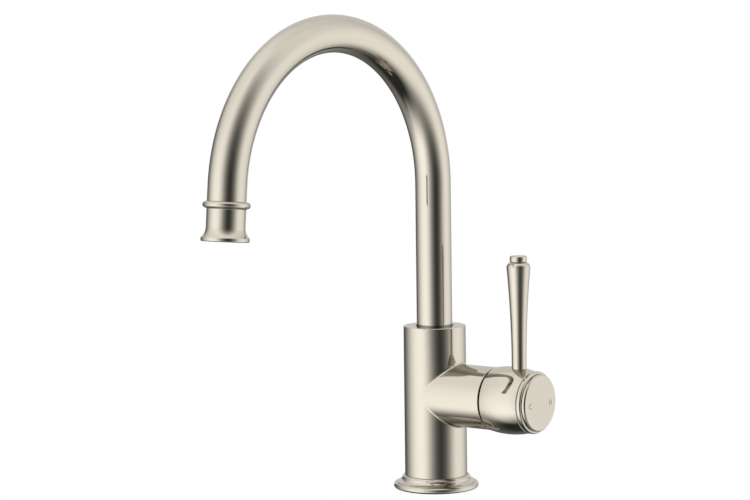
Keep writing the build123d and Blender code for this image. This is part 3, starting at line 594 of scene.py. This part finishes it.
@dataclass
class Handle(Assembly):
    """The drum, the cap with its engraved index disc, and the pin lever.

    The two marks are outlines on the disc's face, as sideways and upward places from its
    middle.
    """

    finishes: ClassVar[dict[str, Finish]] = {
        "handle_drum": DRUM,
        "handle_screw": STEEL,
        "end_cap": DRUM,
        "end_cap_seal": RUBBER,
        "lever_rod": LEVER,
        "lever_tip": LEVER,
        "lever_stud": STEEL,
        "index_disc": FACE,
    }

    mark_place: float = 12.3 * MM
    mark_drop: float = 0.85 * MM
    mark_depth: float = 0.25 * MM
    stroke: float = 0.5 * MM
    letter_width: float = 2.9 * MM
    letter_height: float = 3.8 * MM
    cold_mouth: float = 90.0  # the opening of the C, in degrees
    cold_steps: int = 24
    disc_bevel: float = 0.8 * MM
    disc_steps: int = 144
    hair: float = 0.0025 * MM  # less than this behind the face, a polygon is the face itself
    crease: float = 35.0  # edges of the disc sharper than this stay sharp, in degrees

    def cold_mark(self) -> list[Span]:
        """The outline of a plain C, as one open ring with its mouth at the right."""
        outer = self.letter_height / 2
        inner = outer - self.stroke
        arc = 360 - self.cold_mouth
        steps = range(self.cold_steps + 1)
        turns = [math.radians(self.cold_mouth / 2 + arc * step / self.cold_steps) for step in steps]
        there = [(outer * math.cos(a) - self.mark_place, outer * math.sin(a)) for a in turns]
        back = [(inner * math.cos(a) - self.mark_place, inner * math.sin(a)) for a in reversed(turns)]
        return there + back

    def hot_mark(self) -> list[Span]:
        """The outline of a plain H, with twelve corners."""
        side = self.letter_width / 2
        top = self.letter_height / 2
        inner = side - self.stroke
        bar = self.stroke / 2
        half = [(-side, -top), (-inner, -top), (-inner, -bar)]
        half += [(inner, -bar), (inner, -top), (side, -top)]
        outline = half + [(-y, -z) for y, z in half]
        return [(y + self.mark_place, z) for y, z in outline]

    def cutter(self, outline: Sequence[Span], face_x: float) -> bpy.types.Object:
        """A prism that cuts one mark into the disc's face.

        Args:
            outline: The mark's outline.
            face_x: Where the face is along the barrel.

        Returns:
            The prism, as far in front of the face as behind it.
        """
        shape = bmesh.new()
        middle = BARREL_HEIGHT - self.mark_drop
        ends = (face_x - self.mark_depth, face_x + self.mark_depth)
        loops = [[shape.verts.new((x, y, middle + z)) for y, z in outline] for x in ends]
        shape.faces.new(loops[0])
        shape.faces.new(loops[1])
        for step in range(len(outline)):
            after = (step + 1) % len(outline)
            shape.faces.new([loops[0][step], loops[0][after], loops[1][after], loops[1][step]])
        bmesh.ops.recalc_face_normals(shape, faces=shape.faces)
        return placed("stroke", shape)

    def engrave(self, disc: bpy.types.Object, outline: Sequence[Span], face_x: float) -> None:
        """Cuts one mark into the disc.

        Args:
            disc: The disc, which gets a new mesh.
            outline: The mark's outline.
            face_x: Where the disc's face is along the barrel.
        """
        cutter = self.cutter(outline, face_x)
        cut = disc.modifiers.new("cut", "BOOLEAN")
        cut.operation = "DIFFERENCE"
        cut.solver = "EXACT"
        cut.object = cutter
        bpy.context.view_layer.update()
        depsgraph = bpy.context.evaluated_depsgraph_get()
        mesh = bpy.data.meshes.new_from_object(disc.evaluated_get(depsgraph))
        disc.modifiers.clear()
        disc.data = mesh
        bpy.data.objects.remove(cutter)

    def engraved_disc(self) -> bpy.types.Object:
        """The index disc with its two marks cut into the face.

        Returns:
            The disc, which stands for the plain one.
        """
        low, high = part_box("index_disc")
        radius = (high.y - low.y) / 2
        face_radius = radius - self.disc_bevel
        profile = [(low.x, 0.0), (low.x, radius), (high.x - self.disc_bevel, radius)]
        profile += [(high.x, face_radius), (high.x, 0.0)]
        disc = turned("index_disc_engraved", profile, BARREL_HEIGHT, self.disc_steps)
        for outline in (self.cold_mark(), self.hot_mark()):
            self.engrave(disc, outline, high.x)
        disc.data.materials.clear()
        for finish in (FACE, ETCHED):
            disc.data.materials.append(finish.material())
        for face in disc.data.polygons:
            inside = math.hypot(face.center.y, face.center.z - BARREL_HEIGHT) < face_radius
            sunk = low.x + self.mark_depth < face.center.x < high.x - self.hair
            face.material_index = int(inside and sunk)
        smooth_by_angle(disc.data, math.radians(self.crease))
        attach(disc, "handle")
        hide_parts("index_disc")
        log.info("%s: hot and cold marks engraved", disc.name)
        return disc


@dataclass(frozen=True)
class Bank:
    """One broad bank of light, by its angle from the dark gap in front, in degrees.

    Its light falls off to both sides as a bell whose flanks are a little steeper than a
    normal curve's, which is what the exponent says. It also fades to a share of its
    strength between two heights above the horizon.
    """

    middle: float
    front_softness: float
    back_softness: float
    strength: float
    fade: Span
    overhead: float
    flank: float = 2.4

    def light(self, from_gap: Signal, height: Signal) -> Signal:
        """How bright the bank is at an angle from the gap and a height above the horizon."""
        offset = from_gap - self.middle
        softness = (offset > 0.0).between(self.front_softness, self.back_softness)
        lobe = abs(offset / softness) ** self.flank
        share = height.ramp(*self.fade).between(1.0, self.overhead)
        return (-lobe).exp() * self.strength * share


@dataclass
class Studio:
    """The camera, the surroundings that the metal reflects, and the floor.

    Angles are in degrees: turns from +X towards +Y, and heights from the horizon.
    """

    camera_place: Point = (0.915344, -1.260276, 0.304352)
    camera_right: Point = (0.79387743, 0.6079307, -0.013375)
    camera_up: Point = (-0.0420204, 0.07678951, 0.99616146)
    camera_lens: float = 106.634  # millimetres, as the sensor's width is
    camera_sensor: float = 36.0
    camera_nearest: float = 0.05

    gap_turn: float = 325.0  # the dark gap between the two banks of light
    gap_light: float = 0.024  # light that comes from everywhere, from the gap too
    left_bank: Bank = Bank(
        middle=76.0, front_softness=40.0, back_softness=60.0, strength=1.04, fade=(-30.0, 60.0), overhead=0.8
    )
    right_bank: Bank = Bank(
        middle=72.0, front_softness=38.3, back_softness=62.0, strength=0.84, fade=(0.0, 32.0), overhead=0.84
    )
    crossing: float = 1 / 3  # the sine of the angle in which one bank gives way to the other
    behind_edge: Span = (0.0, 0.6)  # where the front ends and the back begins, as cosines
    front_arch: float = 0.5  # how slowly the gap closes with height, as a power
    back_arch: float = 3.0  # the same for the darkness behind the object
    arch_rise: Span = (0.0, 25.0)  # heights between which the back has its own power
    front_foot: Span = (-78.0, -28.0)  # heights between which the banks end, in front
    back_foot: Span = (-66.0, -14.0)  # the same, behind the object
    second_mirror: float = 0.45  # share of the light that is left after a second reflection
    mirror_depth: float = 2.5  # ray depth between a first and a second reflection

    backdrop_turn: float = 120.0  # middle of the white backdrop
    backdrop_rise: float = 20.0
    backdrop_edge: Span = (30.0, 42.0)  # angles from its middle between which it fades
    backdrop_top: Span = (48.0, 62.0)  # heights between which it fades
    backdrop_foot: Span = (-16.0, -4.0)  # heights between which it ends
    backdrop_mirrored: float = 0.6

    floor_radius: float = 1.6
    floor_steps: int = 96
    floor_colour: Colour = (0.9, 0.9, 0.9)
    shadow_edge: Span = (0.03, 0.12)  # distances from the middle between which the shadow fades
    least_white: float = 0.985  # how white the floor shows at the foot of the object

    def add_camera(self) -> None:
        """Adds the camera where the photograph was taken from."""
        right = Vector(self.camera_right)
        up = Vector(self.camera_up)
        data = bpy.data.cameras.new("camera")
        data.lens = self.camera_lens
        data.sensor_width = self.camera_sensor
        data.clip_start = self.camera_nearest
        camera = bpy.data.objects.new("camera", data)
        axes = Matrix((right, up, right.cross(up))).transposed().to_4x4()
        camera.matrix_world = Matrix.Translation(self.camera_place) @ axes
        bpy.context.scene.collection.objects.link(camera)
        bpy.context.scene.camera = camera

    def surroundings(self, shader: Shader) -> Signal:
        """How bright the studio is in each direction.

        Args:
            shader: The world's tree.

        Returns:
            A brightness, about 1 where a bank of light is brightest.
        """
        parts = shader.split(shader.direction())
        turn = math.radians(self.gap_turn)
        ahead = parts * math.cos(turn) + parts.beside("Y") * math.sin(turn)
        aside = parts.beside("Y") * math.cos(turn) - parts * math.sin(turn)
        level = (ahead * ahead + aside * aside + 1e-6) ** 0.5
        bearing = ahead / level
        behind = (-bearing).ramp(*self.behind_edge)
        height = parts.beside("Z").degrees("ARCSINE")
        arch = (behind * height.ramp(*self.arch_rise)).between(self.front_arch, self.back_arch)
        from_gap = (bearing * level ** arch).degrees("ARCCOSINE")
        left = self.left_bank.light(from_gap, height)
        right = self.right_bank.light(from_gap, height)
        banks = aside.ramp(-self.crossing, self.crossing).between(left, right)
        foot = [behind.between(*ends) for ends in zip(self.front_foot, self.back_foot)]
        return banks * height.ramp(*foot) + self.gap_light

    def backdrop(self, shader: Shader) -> Signal:
        """How much of the white backdrop lies in each direction.

        Args:
            shader: The world's tree.

        Returns:
            A share from 0 to 1.
        """
        direction = shader.direction()
        turn = math.radians(self.backdrop_turn)
        rise = math.radians(self.backdrop_rise)
        middle = (math.cos(turn) * math.cos(rise), math.sin(turn) * math.cos(rise), math.sin(rise))
        toward = shader.vector_math("DOT_PRODUCT", "Value", direction, middle)
        height = shader.split(direction).beside("Z").degrees("ARCSINE")
        upright = height.ramp(*self.backdrop_foot) * (1.0 - height.ramp(*self.backdrop_top))
        return (1.0 - toward.degrees("ARCCOSINE").ramp(*self.backdrop_edge)) * upright

    def add_world(self) -> None:
        """Adds the surroundings, which the camera itself sees as white."""
        world = bpy.data.worlds.new("studio")
        bpy.context.scene.world = world
        world.use_nodes = True
        shader = Shader(world.node_tree)
        studio = self.surroundings(shader)
        light = studio.at_least(self.backdrop(shader) * self.backdrop_mirrored)
        seen = shader.add("ShaderNodeLightPath", "Is Camera Ray")
        again = seen.beside("Ray Depth") > self.mirror_depth
        light = (light * again.between(1.0, self.second_mirror)).at_least(seen)
        sockets = {"Color": WHITE_LIGHT, "Strength": light}
        shader.surface(shader.add("ShaderNodeBackground", sockets=sockets))

    def floor_material(self) -> bpy.types.Material:
        """A white floor with a faint shadow round its middle, which mirrors look through."""
        material = bpy.data.materials.new("floor_white")
        material.use_nodes = True
        shader = Shader(material.node_tree)
        distance = shader.vector_math("LENGTH", "Value", shader.place())
        white = distance.ramp(*self.shadow_edge).between(self.least_white, 1.0)
        paint = shader.add("ShaderNodeBsdfDiffuse", sockets={"Color": (*self.floor_colour, 1.0)})
        glow = shader.add("ShaderNodeEmission", sockets={"Color": WHITE_LIGHT, "Strength": 1.0})
        clear = shader.add("ShaderNodeBsdfTransparent", sockets={"Color": WHITE_LIGHT})
        path = shader.add("ShaderNodeLightPath", "Is Camera Ray")
        seen = shader.add("ShaderNodeMixShader", sockets={0: white * path, 1: paint, 2: glow})
        mirrored = path.beside("Is Glossy Ray").at_least(path.beside("Is Transmission Ray"))
        shader.surface(shader.add("ShaderNodeMixShader", sockets={0: mirrored, 1: seen, 2: clear}))
        return material

    def add_floor(self) -> None:
        """Adds the pale floor, which keeps a soft shadow near the base."""
        shape = bmesh.new()
        bmesh.ops.create_circle(
            shape, cap_ends=True, segments=self.floor_steps, radius=self.floor_radius
        )
        floor = placed("floor", shape)
        floor.data.materials.append(self.floor_material())

    def build(self) -> None:
        """Adds everything, and sets how the picture is shown."""
        self.add_camera()
        self.add_world()
        self.add_floor()
        bpy.context.scene.view_settings.view_transform = "Standard"


def main() -> None:
    """Builds and dresses the whole mixer, then the studio round it."""
    logging.basicConfig(level=logging.INFO, format="%(message)s")
    handle = Handle()
    for assembly in (BasePlate(), Column(), Spout(), Cartridge(), handle):
        assembly.dress()
    handle.engraved_disc()
    Studio().build()


if __name__ == "__main__":
    main()
